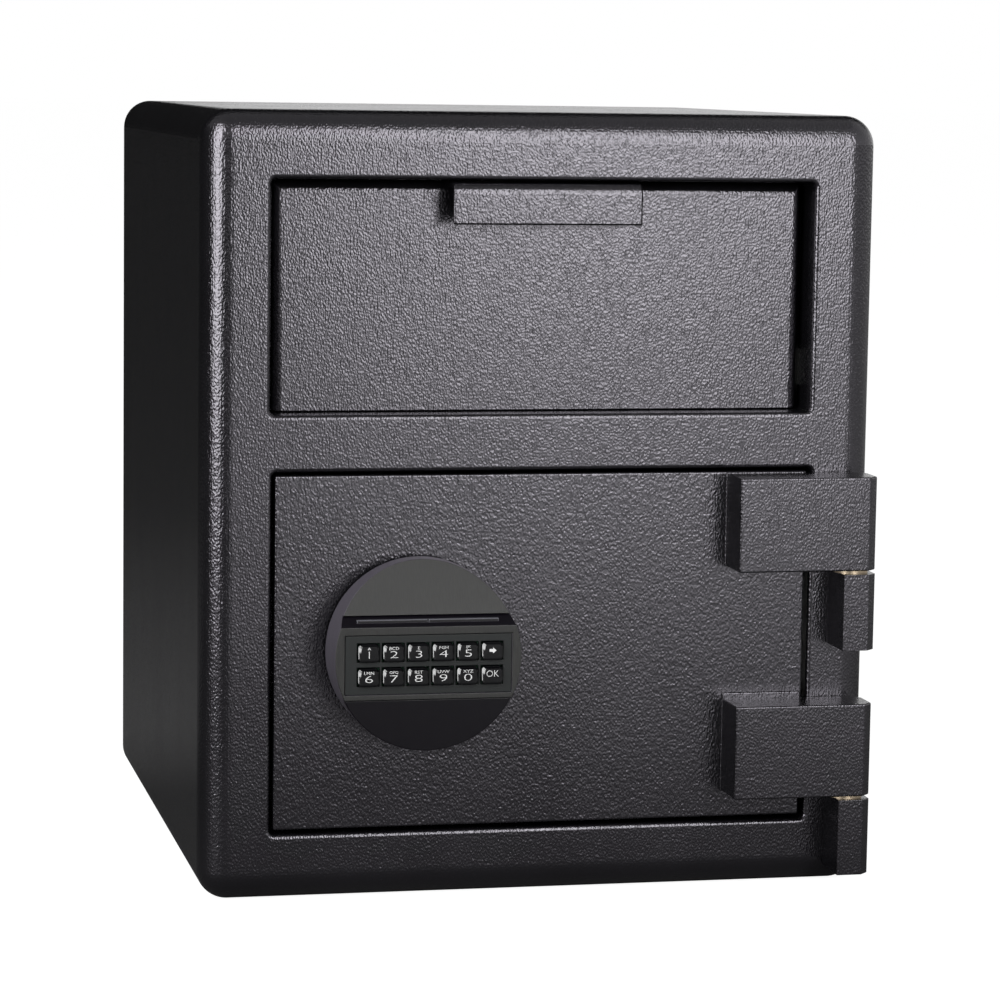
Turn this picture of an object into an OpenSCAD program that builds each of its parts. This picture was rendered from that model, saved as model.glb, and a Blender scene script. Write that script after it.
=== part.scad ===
// Drop safe with a deposit drawer over a hinged vault door, in millimetres.
// X runs to the right, Y runs into the safe and Z runs up.
// The origin is the middle of the floor anchor holes, on the underside of the base.

/* [Body] */
// Width of the steel body
body_w = 350; // [330:1:420]
// Height of the steel body
body_h = 400; // [390:1:480]
// Depth of the steel body without the hinges
body_d = 350; // [330:1:450]
// Thickness of the body sheet
body_wall = 4; // [3:0.5:5]
// Radius of the outer edges of the body
edge_r = 15.5; // [12:0.5:17]
// Depth of the pressed front frame, where it is welded to the wrap
frame_depth = 19; // [18:0.5:24]
// How far the back panel sits in from the rear edge
back_inset = 3; // [1:0.5:8]
// Radius of each floor anchor hole
anchor_r = 6.25; // [4:0.25:8]
// Distance between the anchor holes across the base
anchor_pitch_x = 220; // [160:5:240]
// Distance between the anchor holes along the base
anchor_pitch_y = 200; // [140:5:220]

/* [Front frame] */
// Width of each stile beside the openings
stile_w = 34.25; // [32:0.25:40]
// Height of the rail over the drawer
top_rail_h = 34.1; // [28:0.1:40]
// Height of the rail between the drawer and the door
mid_rail_h = 28.9; // [22:0.1:36]
// Height of the rail under the door
bottom_rail_h = 34.6; // [28:0.1:42]
// Height of the drawer opening
drawer_open_h = 117.9; // [114:0.1:130]
// How far the door opening lies right of the middle
door_shift = 1.2; // [0:0.1:1.4]
// Depth of the jambs round both openings
jamb_depth = 25; // [22:0.5:26]
// Thickness of the jambs
jamb_t = 4; // [3:0.5:5]
// Radius of the lip round both openings
lip_r = 2.4; // [0.6:0.1:2.8]
// Radius of the corners of both openings
corner_r = 2.5; // [1:0.25:2.5]

/* [Drawer] */
// How far the drawer pulls out
drawer_travel = 130; // [110:1:132]
// Sheet thickness of the drawer front
front_t = 2.5; // [2:0.25:3]
// Depth of the folded edges of the drawer front
front_return = 14; // [10:0.5:16]
// Radius of the folds of the drawer front and of its pull
front_fold_r = 5.5; // [3.5:0.5:6]
// How far the drawer front sits back at its lower edge
front_recess = 16; // [15:0.1:23]
// Lean of the drawer front, its top forward, in degrees
front_lean = 0; // [0:0.1:1.8]
// Gap beside the drawer front
front_side_gap = 2.75; // [2:0.25:4]
// Gap over the drawer front
front_top_gap = 1.4; // [1:0.1:8]
// Gap under the drawer front
front_bottom_gap = 0.4; // [0.3:0.1:2]
// Width of the pull
pull_w = 97.5; // [70:0.5:140]
// Height of the pull's face
pull_h = 20.8; // [14:0.2:30]
// Thickness of the pull's plate
pull_t = 2.5; // [1.5:0.25:3.5]
// How far the pull lies right of the middle
pull_shift = -0.7; // [-12:0.1:12]
// Depth of the pull before the drawer front
pull_reach = 20.5; // [16:0.1:22]
// How far the pull's top stands over the top of the drawer front
pull_rise = 0; // [0:0.1:1]
// Sheet thickness of the cheeks and the sloping floor
tray_t = 2; // [1.5:0.25:2.5]
// Depth from the frame's front to the rear end of the tray
tray_end = 165; // [160:1:172]
// Height of the tray floor over the sill at its front end
floor_front_rise = 56; // [40:1:62]
// Height of the tray floor over the sill at its rear end
floor_rear_rise = 4; // [3:0.5:8]

/* [Drop gate] */
// Height of the gate's hinge line over the sill
gate_hinge_rise = 94; // [90:1:97]
// Distance of the gate's hinge line behind the tray
gate_hinge_back = 3; // [2.5:0.5:6]
// Length of the gate below its hinge line
gate_len = 86; // [70:1:87]
// Thickness of the gate
gate_t = 2; // [1.5:0.25:3]
// Opening angle of the gate while the drawer is shut
gate_open = 60; // [45:1:64]
// Radius of the gate's rod
gate_rod_r = 3; // [2.5:0.25:3.5]
// Length of the lever that works the gate
lever_len = 34; // [30:1:36]
// Angle of the lever ahead of the gate
lever_lead = 20; // [10:1:22]
// Thickness of the lever
lever_t = 2.6; // [2:0.1:3]
// Radius of the follower on the lever
follower_r = 3.5; // [3:0.25:4]

/* [Drawer runners] */
// Thickness of the rail on each cheek
rail_t = 3.5; // [3:0.25:4]
// Height of the rail on each cheek
rail_h = 14; // [10:0.5:18]
// Height of the rail's underside over the sill
rail_rise = 14; // [12:0.5:20]
// How far the rails reach behind the tray
rail_tail = 50; // [40:1:55]
// Sheet thickness of the fixed channels
channel_t = 2; // [1.5:0.25:2.5]
// Thickness of the plates that hold the channels
bracket_t = 2.5; // [2:0.25:3]
// Height of those plates
bracket_h = 103; // [100:1:106]
// Length of those plates behind the jambs
bracket_len = 202; // [198:1:240]
// Thickness of the shelf under the drawer
deck_t = 3; // [2:0.5:4]
// Length of the toothed plate below the shelf
comb_len = 50; // [30:1:60]
// Slope of the toothed plate below level
comb_slope = 45; // [30:1:60]
// Height of each tooth
tooth_h = 8; // [5:0.5:12]
// Number of teeth
tooth_count = 22; // [12:1:30]

/* [Door] */
// Thickness of the door plate
door_t = 8; // [6:0.5:9]
// How far the door stands proud of the frame
door_proud = 0.5; // [0.4:0.1:0.8]
// Gap beside the door at its opening edge
door_gap_left = 1.5; // [1.4:0.1:3]
// Gap beside the door at its hinge edge
door_gap_right = 2.9; // [2.5:0.1:4]
// Gap over the door
door_gap_top = 1.5; // [1.2:0.1:4]
// Gap under the door
door_gap_bottom = 2.7; // [1.5:0.1:4]

/* [Hinges] */
// How far the hinge pin lies right of the door's edge
pin_offset = 20.75; // [19:0.25:22]
// Radius of the hinge pins
pin_r = 5; // [4:0.25:6]
// Depth of the hinge blocks before the door
block_depth = 25.5; // [24:0.5:27]
// Distance from the pin to the left end of the hinge blocks
block_left = 63; // [50:0.5:80]
// Distance from the pin to the right end of the hinge blocks
block_right = 10.7; // [9.5:0.1:11]
// Height of the hinge blocks as a share of the door's height
block_share = 0.268; // [0.22:0.002:0.29]
// Gap from the upper block's top to the door's top
block_drop = 0.8; // [0.5:0.1:10]
// Chamfer of the blocks and knuckles
block_chamfer = 4.5; // [3:0.25:5]
// Distance from the pin to the left side of the fixed knuckles
knuckle_left = 7; // [6.5:0.25:9]
// Height of the fixed knuckles as a share of the door's height
knuckle_share = 0.2185; // [0.17:0.0005:0.24]
// Height of the lower knuckle over the floor
knuckle_z = 9.6; // [5:0.1:14]
// Thickness of the brass washers
washer_t = 1.6; // [1:0.1:4]
// Radius of the brass washers
washer_r = 9; // [7:0.1:9]
// How far the pins reach into the blocks
pin_engage = 32; // [15:1:36]

/* [Keypad] */
// Distance from the door's left edge to the keypad's axis
dial_from_edge = 72.7; // [66:0.1:90]
// Height of the keypad's axis as a share of the door's height
dial_share = 0.511; // [0.48:0.001:0.54]
// Radius of the keypad
drum_r = 47.3; // [47:0.1:52]
// Height of the keypad's face over the door
face_h = 33.5; // [32:0.5:38]
// Height of the rim at the top of the keypad
rim_h = 13; // [10:0.5:16]
// Height at which the upper slope ends
ramp_h = 27; // [24:0.5:28]
// Wall of the keypad's housing
drum_wall = 2.5; // [2:0.25:3]
// Width of the key plate
plate_w = 84.5; // [80:0.5:84.5]
// Height of the key plate
plate_h = 29.6; // [28:0.1:33]
// Thickness of the key plate
plate_t = 2.2; // [1.6:0.1:2.4]
// Width of a key
key_w = 10.7; // [8:0.1:10.8]
// Height of a key
key_h = 8.9; // [7:0.1:9.6]
// How far a key stands out of its plate
key_proud = 2.4; // [1.5:0.1:4]
// Travel of a key
key_travel = 0.9; // [0.5:0.05:1]
// Distance between keys across
key_pitch_x = 12.55; // [12.2:0.05:13]
// Distance between keys down
key_pitch_y = 12.2; // [11.6:0.1:13]
// How far the keys stand to the right of the middle of their plate
key_shift = 0.8; // [-1:0.1:1]
// Length of the light bar
light_w = 72; // [50:1:74]

/* [Boltwork] */
// Throw of the locking bolts
bolt_throw = 14; // [10:0.5:15]
// Radius of the locking bolts
bolt_r = 8; // [6:0.5:8.5]
// Distance between the locking bolts as a share of the door's height
bolt_share = 0.555; // [0.5:0.005:0.62]
// Gap behind the jamb to the locking bolts
bolt_back_gap = 3; // [1:0.5:3.5]
// Turn of the keypad that throws the bolts
dial_turn = 90; // [70:1:95]
// Radius of the spindle
spindle_r = 8; // [6:0.5:8.5]
// Radius of the cam's slot at its inner end
cam_start_r = 15; // [15:0.5:16]
// Thickness of the cam
cam_t = 4; // [3:0.5:5]
// Rim of the cam outside its slot
cam_rim = 6; // [5:0.5:6.5]
// Thickness of the bolt carriage
carriage_t = 3; // [2:0.25:3.5]
// Sheet thickness of the cover inside the door
cover_t = 1.5; // [1:0.25:2]
// Inset of the cover from the door's edges at the top and the base
cover_inset_z = 14; // [12:0.5:20]
// Inset of the lock chassis from the door's left edge
chassis_inset = 7; // [6.5:0.25:9]
// Thickness of the dead bar
dead_bar_t = 8; // [6:0.5:9]
// How far the dead bar reaches past the edge of the door opening
dead_bar_hook = 8; // [6:0.5:9]

/* [Hidden] */
$fn = 64;
eps = 0.01;

// Colours
paint = [0.13, 0.13, 0.14];
inner_paint = [0.20, 0.20, 0.21];
zinc = [0.62, 0.63, 0.62];
steel = [0.70, 0.70, 0.69];
brass = [0.72, 0.58, 0.32];
grey_plastic = [0.17, 0.17, 0.17];
dark_plastic = [0.08, 0.08, 0.09];
board_green = [0.10, 0.30, 0.16];

// Clearances
slide_gap = 0.4;
fit_gap = 0.05;
seat_gap = 0.3;
key_gap = 0.35;

// Front frame
open_w = body_w - 2 * stile_w;
drawer_z0 = body_h - top_rail_h - drawer_open_h;
drawer_z1 = body_h - top_rail_h;
door_z0 = bottom_rail_h;
door_z1 = drawer_z0 - mid_rail_h;
door_x0 = door_shift - open_w / 2;
door_x1 = door_shift + open_w / 2;

// Drawer
front_half = open_w / 2 - front_side_gap;
front_z0 = drawer_z0 + front_bottom_gap;
front_h = drawer_open_h - front_bottom_gap - front_top_gap;
cheek_x = front_half - front_t;
cheek_top_z = front_z0 + front_h - front_t - 3;
floor_front_z = drawer_z0 + floor_front_rise;
floor_rear_z = drawer_z0 + floor_rear_rise;
hinge_y = tray_end + gate_hinge_back;
hinge_z = drawer_z0 + gate_hinge_rise;
ear_r = 8;
gate_half = cheek_x - tray_t - 2.5;
rail_x = cheek_x + rail_t;
rail_z0 = drawer_z0 + rail_rise;
rail_front = front_recess + front_return + 1;
web_x = rail_x + slide_gap;
bracket_x = web_x + channel_t;
lever_x = cheek_x + 0.5;
deck_top = drawer_z0 - 1;

// Door
face_y = -door_proud;
door_back = door_t - door_proud;
leaf_x0 = door_x0 + door_gap_left;
leaf_x1 = door_x1 - door_gap_right;
leaf_z0 = door_z0 + door_gap_bottom;
leaf_z1 = door_z1 - door_gap_top;
leaf_h = leaf_z1 - leaf_z0;
block_h = leaf_h * block_share;
knuckle_h = leaf_h * knuckle_share;
bolt_pitch = leaf_h * bolt_share;
pin_x = leaf_x1 + pin_offset;
pin_y = face_y - block_depth / 2;
block_play = 0.3;
upper_block_z = leaf_z1 - block_drop - block_h;
lower_block_z = knuckle_z + knuckle_h + washer_t + block_play;
upper_knuckle_z = upper_block_z - block_play - washer_t - knuckle_h;
pin_inset = 6;

// Keypad
dial_x = leaf_x0 + dial_from_edge;
dial_z = leaf_z0 + leaf_h * dial_share;
base_t = 3;
drum_back = base_t + slide_gap;
web_top = drum_back + drum_wall;
ramp_end = 21;
groove_h = ramp_h - 1.8;
brow_v = 16;
chin_v = -20.7;
chin_step = 0.9;
chin_h = face_h - 3;
plate_v = -3;
plate_front = face_h - 0.4;
plate_back = plate_front - plate_t;
ledge_back = plate_back - 2.4;
key_rise = 6.2;
key_flange = 0.7;
board_t = 1.6;
key_count_x = 6;
window_w = (key_count_x - 1) * key_pitch_x + key_w + 2 * key_flange + 1.2;
window_h = key_pitch_y + key_h + 2 * key_flange + 1.2;
board_lap = 1.8;

// Boltwork
bolt_y = jamb_depth + bolt_back_gap + bolt_r;
bolt_tip = leaf_x0 + chassis_inset - 2.5;
chassis_x = leaf_x0 + chassis_inset;
chassis_t = 3;
cover_y = bolt_y + bolt_r + 3;
cover_x1 = leaf_x1 - 18;
cover_z0 = leaf_z0 + cover_inset_z;
cover_z1 = leaf_z1 - cover_inset_z;
bolt_z_mid = (leaf_z0 + leaf_z1) / 2;
tongue_half = spindle_r * 1.5;
tongue_rim = 1.5;
cam_notch_w = 11;
cam_notch_d = 7;
cam_back = door_back + 12.5;
cam_slot_r = 3.5;
cam_r = cam_start_r + bolt_throw + cam_slot_r + cam_rim;
carriage_y = cam_back + 2;
carriage_room = 13;
flange_x = chassis_x + chassis_t + bolt_throw + carriage_room;
foot_len = 20;
foot_h = 18;
screw_r = 3.5;
screw_head = 1.8;
screw_inset = 14;
case_len = 66;
case_depth = 24;
case_half = 24;
latch_half = 5;
latch_reach = 22;
bar_inset = 8;
bar_arm = 5;
dead_bar_y = jamb_depth + 5;

// The model is drawn with Y = 0 at the front of the frame.
module from_front() {
    translate([0, -body_d / 2, 0]) children();
}

// Box between two corners
module slab(a, b) {
    translate(a) cube([b[0] - a[0], b[1] - a[1], b[2] - a[2]]);
}

// Outline drawn in Y and Z, extruded from x0 to x1
module along_x(x0, x1) {
    translate([x0, 0, 0]) rotate([90, 0, 90]) linear_extrude(x1 - x0) children();
}

// Outline drawn in X and Z, extruded from y0 to y1
module along_y(y0, y1) {
    translate([0, y1, 0]) rotate([90, 0, 0]) linear_extrude(y1 - y0) children();
}

// Outline drawn in X and Y, extruded from z0 to z1
module along_z(z0, z1) {
    translate([0, 0, z0]) linear_extrude(z1 - z0) children();
}

module rod_x(r, x0, x1, y, z) {
    translate([x0, y, z]) rotate([0, 90, 0]) cylinder(r = r, h = x1 - x0);
}

module rod_y(r, y0, y1, x, z) {
    translate([x, y1, z]) rotate([90, 0, 0]) cylinder(r = r, h = y1 - y0);
}

module rod_z(r, z0, z1, x, y) {
    translate([x, y, z0]) cylinder(r = r, h = z1 - z0);
}

// Tube or plug with round long edges
module round_tube(w, z0, z1, r, y0, y1) {
    x = w / 2 - r;
    for (sx = [-1, 1], z = [z0 + r, z1 - r]) rod_y(r, y0, y1, sx * x, z);
    slab([-w / 2, y0, z0 + r], [w / 2, y1, z1 - r]);
    slab([-x, y0, z0], [x, y1, z1]);
}

// The same with round edges and ball corners at its front end
module soft_block(w, z0, z1, r, y0, y1) {
    x = w / 2 - r;
    round_tube(w, z0, z1, r, y0 + r, y1);
    intersection() {
        slab([-w / 2, y0, z0], [w / 2, y0 + r, z1]);
        union() {
            for (sx = [-1, 1]) rod_z(r, z0 + r, z1 - r, sx * x, y0 + r);
            for (z = [z0 + r, z1 - r]) rod_x(r, -x, x, y0 + r, z);
            for (sx = [-1, 1], z = [z0 + r, z1 - r]) translate([sx * x, y0 + r, z]) sphere(r = r);
            slab([-x, y0, z0 + r], [x, y0 + r, z1 - r]);
        }
    }
}

// Body

module wrap_inside(y0, y1) {
    round_tube(body_w - 2 * body_wall, body_wall, body_h - body_wall, edge_r - body_wall, y0, y1);
}

module body_wrap() {
    color(paint) from_front() difference() {
        round_tube(body_w, 0, body_h, edge_r, frame_depth, body_d);
        wrap_inside(frame_depth - 1, body_d + 1);
        for (sx = [-1, 1], sy = [-1, 1])
            rod_z(anchor_r, -1, body_wall + 1, sx * anchor_pitch_x / 2,
                  body_d / 2 + sy * anchor_pitch_y / 2);
    }
}

// Opening through the frame with rounded corners and a rounded lip
module window(x0, x1, z0, z1) {
    r = lip_r;
    c = corner_r;
    slab([x0 + c, -1, z0], [x1 - c, jamb_depth + 1, z1]);
    slab([x0, -1, z0 + c], [x1, jamb_depth + 1, z1 - c]);
    difference() {
        union() {
            slab([x0 + c, -1, z0 - r], [x1 - c, r, z1 + r]);
            slab([x0 - r, -1, z0 + c], [x1 + r, r, z1 - c]);
        }
        for (x = [x0 - r, x1 + r]) rod_z(r, z0, z1, x, r);
        for (z = [z0 - r, z1 + r]) rod_x(r, x0, x1, r, z);
    }
    for (x = [x0 + c, x1 - c], z = [z0 + c, z1 - c]) {
        rod_y(c, -1, jamb_depth + 1, x, z);
        difference() {
            rod_y(c + r, -1, r, x, z);
            translate([x, r, z]) rotate([90, 0, 0]) rotate_extrude() translate([c + r, 0]) circle(r = r);
        }
    }
}

// Liner of an opening
module jamb(x0, x1, z0, z1) {
    slab([x0 - jamb_t, 1, z0 - jamb_t], [x1 + jamb_t, jamb_depth, z1 + jamb_t]);
}

module front_frame() {
    color(paint) from_front() difference() {
        union() {
            difference() {
                soft_block(body_w, 0, body_h, edge_r, 0, frame_depth);
                soft_block(body_w - 2 * body_wall, body_wall, body_h - body_wall,
                           edge_r - body_wall, body_wall, frame_depth + 1);
            }
            jamb(-open_w / 2, open_w / 2, drawer_z0, drawer_z1);
            jamb(door_x0, door_x1, door_z0, door_z1);
        }
        window(-open_w / 2, open_w / 2, drawer_z0, drawer_z1);
        window(door_x0, door_x1, door_z0, door_z1);
    }
}

module back_panel() {
    color(paint) from_front()
        wrap_inside(body_d - back_inset - body_wall, body_d - back_inset);
}

module drawer_deck() {
    color(inner_paint) from_front()
        slab([-body_w / 2 + body_wall, jamb_depth, deck_top - deck_t],
             [body_w / 2 - body_wall, tray_end, deck_top]);
}

// Plate with saw teeth that hangs behind the shelf and stops fishing
module antifish_comb() {
    half = body_w / 2 - body_wall;
    pitch = 2 * half / tooth_count;
    teeth = [for (i = [0 : tooth_count - 1]) each [
        [half - i * pitch, comb_len - tooth_h],
        [half - (i + 0.5) * pitch, comb_len]]];
    z = deck_top - deck_t;
    color(zinc) from_front() {
        slab([-half, tray_end - 14, z - tray_t], [half, tray_end, z]);
        translate([0, tray_end, z]) rotate([-comb_slope, 0, 0]) along_z(-tray_t, 0)
            polygon(concat([[-half, 0], [half, 0]], teeth, [[-half, comb_len - tooth_h]]));
    }
}

// Drawer runners

// Depth at which the leaning drawer front ends, at height z
function front_back(z) = front_recess + front_t / cos(front_lean) - (z - front_z0) * tan(front_lean);

function gate_angle(s) = gate_open * (1 - s / drawer_travel);
function follower_y(s) = hinge_y - s + lever_len * sin(gate_angle(s) + lever_lead);
function follower_z(s) = hinge_z - lever_len * cos(gate_angle(s) + lever_lead);
function track_dir(s) = let(
    dy = follower_y(s + 0.5) - follower_y(s - 0.5),
    dz = follower_z(s + 0.5) - follower_z(s - 0.5),
    n = sqrt(dy * dy + dz * dz)) [dy / n, dz / n];
function track_side(s, w) = [follower_y(s) - w * track_dir(s)[1], follower_z(s) + w * track_dir(s)[0]];

// Outline of the slot that the follower runs in, drawn in Y and Z
module track_slot() {
    w = follower_r + slide_gap;
    steps = 26;
    stops = [for (i = [0 : steps]) drawer_travel * i / steps];
    back = [for (i = [steps : -1 : 0]) drawer_travel * i / steps];
    polygon(concat([for (s = stops) track_side(s, w)], [for (s = back) track_side(s, -w)]));
}

module bracket() {
    slab([bracket_x, jamb_depth, deck_top],
         [bracket_x + bracket_t, jamb_depth + bracket_len, deck_top + bracket_h]);
}

module bracket_left() {
    w = follower_r + slide_gap;
    color(zinc) from_front() difference() {
        mirror([1, 0, 0]) bracket();
        along_x(-bracket_x - bracket_t - 1, -bracket_x + 1) track_slot();
        for (s = [0, drawer_travel])
            rod_x(w, -bracket_x - bracket_t - 1, -bracket_x + 1, follower_y(s), follower_z(s));
    }
}

module bracket_right() {
    color(zinc) from_front() bracket();
}

module channel() {
    y0 = rail_front + 0.5;
    y1 = tray_end + rail_tail + 5;
    z0 = rail_z0 - slide_gap;
    z1 = rail_z0 + rail_h + slide_gap;
    slab([web_x, y0, z0 - channel_t], [bracket_x, y1, z1 + channel_t]);
    slab([cheek_x + 0.7, y0, z0 - channel_t], [web_x, y1, z0]);
    slab([cheek_x + 0.7, y0, z1], [web_x, y1, z1 + channel_t]);
}

module channel_left() {
    color(steel) from_front() mirror([1, 0, 0]) channel();
}

module channel_right() {
    color(steel) from_front() channel();
}

module rail() {
    slab([cheek_x, rail_front, rail_z0], [rail_x, tray_end + rail_tail, rail_z0 + rail_h]);
}

module rail_left() {
    color(steel) from_front() mirror([1, 0, 0]) rail();
}

module rail_right() {
    color(steel) from_front() rail();
}

// Drawer

// Frame of the leaning drawer front: origin at the middle of its lower front edge
module leaned() {
    translate([0, front_recess, front_z0]) rotate([front_lean, 0, 0]) children();
}

// Sheet face with two folded sides, open at the back, drawn in X and Y
module fold_outline(half, depth, r) {
    for (sx = [-1, 1]) translate([sx * (half - r), r]) circle(r = r);
    translate([-half + r, 0]) square([2 * (half - r), r]);
    translate([-half, r]) square([2 * half, depth - r]);
}

// Sheet face with one fold at its top, drawn in Y and Z with the top edge at Z = 0
module top_fold(depth, h, r) {
    translate([r, -r]) circle(r = r);
    translate([0, -h]) square([depth, h - r]);
    translate([r, -r]) square([depth - r, r]);
}

module drawer_front() {
    r = front_fold_r;
    color(paint) from_front() leaned() difference() {
        intersection() {
            along_z(0, front_h) fold_outline(front_half, front_return, r);
            along_x(-front_half, front_half) translate([0, front_h]) top_fold(front_return, front_h, r);
        }
        along_z(front_t, front_h - front_t)
            translate([0, front_t]) fold_outline(front_half - front_t, front_return, r - front_t);
    }
}

// Bent strip whose rear end follows the top fold of the drawer front
module drawer_pull() {
    r = front_fold_r;
    x0 = pull_shift - pull_w / 2;
    x1 = pull_shift + pull_w / 2;
    color(paint) from_front() leaned() difference() {
        along_x(x0, x1) translate([-pull_reach, front_h + pull_rise]) difference() {
            top_fold(pull_reach + r, pull_h, r);
            translate([pull_t, -pull_t]) top_fold(pull_reach + r, pull_h, r - pull_t);
        }
        rod_x(r + seat_gap, x0 - 1, x1 + 1, r, front_h - r);
        slab([x0 - 1, -seat_gap, 0], [x1 + 1, r + 1, front_h - r]);
        slab([x0 - 1, r, 0], [x1 + 1, r + 1, front_h]);
    }
}

module cheek() {
    low_z = deck_top + 6;
    inset = front_fold_r - front_t + seat_gap;
    difference() {
        along_x(cheek_x - tray_t, cheek_x) {
            polygon([
                [front_back(low_z) + inset, low_z], [tray_end, low_z], [hinge_y + ear_r, hinge_z],
                [hinge_y, hinge_z + ear_r], [front_back(cheek_top_z) + inset, cheek_top_z]]);
            translate([hinge_y, hinge_z]) circle(r = ear_r);
        }
        rod_x(gate_rod_r + fit_gap, cheek_x - tray_t - 1, cheek_x + 1, hinge_y, hinge_z);
    }
}

module cheek_left() {
    color(zinc) from_front() mirror([1, 0, 0]) cheek();
}

module cheek_right() {
    color(zinc) from_front() cheek();
}

module drawer_floor() {
    half = cheek_x - tray_t;
    color(zinc) from_front() along_x(-half, half)
        polygon([
            [front_back(floor_front_z) + seat_gap, floor_front_z - tray_t],
            [tray_end, floor_rear_z], [tray_end, floor_rear_z + tray_t],
            [front_back(floor_front_z) + seat_gap, floor_front_z]]);
}

// Drop gate, drawn where it stands with the drawer shut

module gate_frame() {
    translate([0, hinge_y, hinge_z]) rotate([gate_open, 0, 0]) children();
}

module gate_plate() {
    curl_r = gate_rod_r + fit_gap + gate_t;
    color(zinc) from_front() gate_frame() difference() {
        union() {
            slab([-gate_half, -curl_r, -gate_len], [gate_half, gate_t - curl_r, 0]);
            rod_x(curl_r, -gate_half, gate_half, 0, 0);
        }
        rod_x(gate_rod_r + fit_gap, -gate_half - 1, gate_half + 1, 0, 0);
    }
}

module gate_rod() {
    color(steel) from_front() rod_x(gate_rod_r, -lever_x, cheek_x + 1.5, hinge_y, hinge_z);
}

module gate_lever() {
    boss = gate_rod_r + 3.5;
    eye = follower_r + 2.5;
    color(steel) from_front() {
        translate([0, hinge_y, hinge_z]) rotate([gate_open + lever_lead, 0, 0]) {
            rod_x(boss, -lever_x - lever_t, -lever_x, 0, 0);
            rod_x(eye, -lever_x - lever_t, -lever_x, 0, -lever_len);
            slab([-lever_x - lever_t, -follower_r, -lever_len], [-lever_x, follower_r, 0]);
            rod_x(follower_r, -bracket_x - bracket_t - 2, -lever_x - lever_t, 0, -lever_len);
        }
    }
}

// Hinges

module knuckle(z) {
    corner = body_w / 2 - edge_r;
    right = pin_x + block_right;
    front = face_y - block_depth;
    difference() {
        along_z(z, z + knuckle_h) polygon([
            [pin_x - knuckle_left, front], [right - block_chamfer, front],
            [right, front + block_chamfer], [right, edge_r / 2], [corner, edge_r / 2],
            [corner, 0], [pin_x - knuckle_left, 0]]);
        rod_z(edge_r, z - 1, z + knuckle_h + 1, corner, edge_r);
        rod_z(pin_r + fit_gap, z + pin_inset, z + knuckle_h + 1, pin_x, pin_y);
    }
}

module hinge_block(z) {
    right = pin_x + block_right;
    left = pin_x - block_left;
    front = face_y - block_depth;
    swing_r = block_depth / 2;
    difference() {
        along_z(z, z + block_h) {
            translate([left, front]) square([block_left, block_depth]);
            polygon([
                [pin_x, front], [right - block_chamfer, front], [right, front + block_chamfer],
                [right, pin_y], [pin_x, pin_y]]);
            intersection() {
                translate([pin_x, pin_y]) circle(r = swing_r);
                translate([pin_x, pin_y]) square([block_right, swing_r]);
            }
        }
        rod_z(pin_r + fit_gap, z - 1, z + pin_engage + 1, pin_x, pin_y);
    }
}

module hinge_pin(knuckle_base) {
    rod_z(pin_r, knuckle_base + pin_inset,
          knuckle_base + knuckle_h + washer_t + block_play + pin_engage, pin_x, pin_y);
}

module washer(knuckle_base) {
    z = knuckle_base + knuckle_h;
    difference() {
        rod_z(washer_r, z, z + washer_t, pin_x, pin_y);
        rod_z(pin_r + fit_gap, z - 1, z + washer_t + 1, pin_x, pin_y);
    }
}

module knuckle_upper() { color(paint) from_front() knuckle(upper_knuckle_z); }
module knuckle_lower() { color(paint) from_front() knuckle(knuckle_z); }
module hinge_pin_upper() { color(steel) from_front() hinge_pin(upper_knuckle_z); }
module hinge_pin_lower() { color(steel) from_front() hinge_pin(knuckle_z); }
module washer_upper() { color(brass) from_front() washer(upper_knuckle_z); }
module washer_lower() { color(brass) from_front() washer(knuckle_z); }
module hinge_block_upper() { color(paint) from_front() hinge_block(upper_block_z); }
module hinge_block_lower() { color(paint) from_front() hinge_block(lower_block_z); }

// Door

module door_plate() {
    color(paint) from_front() difference() {
        slab([leaf_x0, face_y, leaf_z0], [leaf_x1, door_back, leaf_z1]);
        rod_y(spindle_r + fit_gap, face_y - 1, door_back + 1, dial_x, dial_z);
    }
}

// Fixed bar that hooks behind the jamb on the hinge side
module dead_bar() {
    x1 = door_x1 + dead_bar_hook;
    x0 = cover_x1 + 2;
    z0 = cover_z0 + bar_inset;
    z1 = cover_z1 - bar_inset;
    color(zinc) from_front() {
        slab([x0, door_back, z0], [x0 + bar_arm, dead_bar_y, z1]);
        slab([x0, dead_bar_y, z0], [x1, dead_bar_y + dead_bar_t, z1]);
    }
}

function bolt_heights() = [bolt_z_mid + bolt_pitch / 2, bolt_z_mid - bolt_pitch / 2];

module lock_chassis() {
    color(zinc) from_front() difference() {
        union() {
            slab([chassis_x, door_back, cover_z0], [chassis_x + chassis_t, cover_y, cover_z1]);
            for (z = [cover_z0, cover_z1 - foot_h])
                slab([chassis_x, door_back, z],
                     [chassis_x + foot_len, door_back + chassis_t, z + foot_h]);
        }
        for (z = bolt_heights())
            rod_x(bolt_r + fit_gap, chassis_x - 1, chassis_x + chassis_t + 1, bolt_y, z);
    }
}

module door_cover() {
    x0 = chassis_x + chassis_t;
    color(inner_paint) from_front() difference() {
        slab([x0, door_back, cover_z0], [cover_x1, cover_y + cover_t, cover_z1]);
        slab([x0 - 1, door_back - 1, cover_z0 + cover_t],
             [cover_x1 - cover_t, cover_y, cover_z1 - cover_t]);
        slab([x0 - 1, door_back - 1, cover_z0 - 1],
             [chassis_x + foot_len + seat_gap, door_back + chassis_t + seat_gap, cover_z1 + 1]);
    }
}

module cover_screws() {
    color(steel) from_front()
        for (x = [chassis_x + foot_len, cover_x1 - screw_inset],
             z = [cover_z0 + screw_inset, cover_z1 - screw_inset])
            rod_y(screw_r, cover_y + cover_t, cover_y + cover_t + screw_head, x, z);
}

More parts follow.
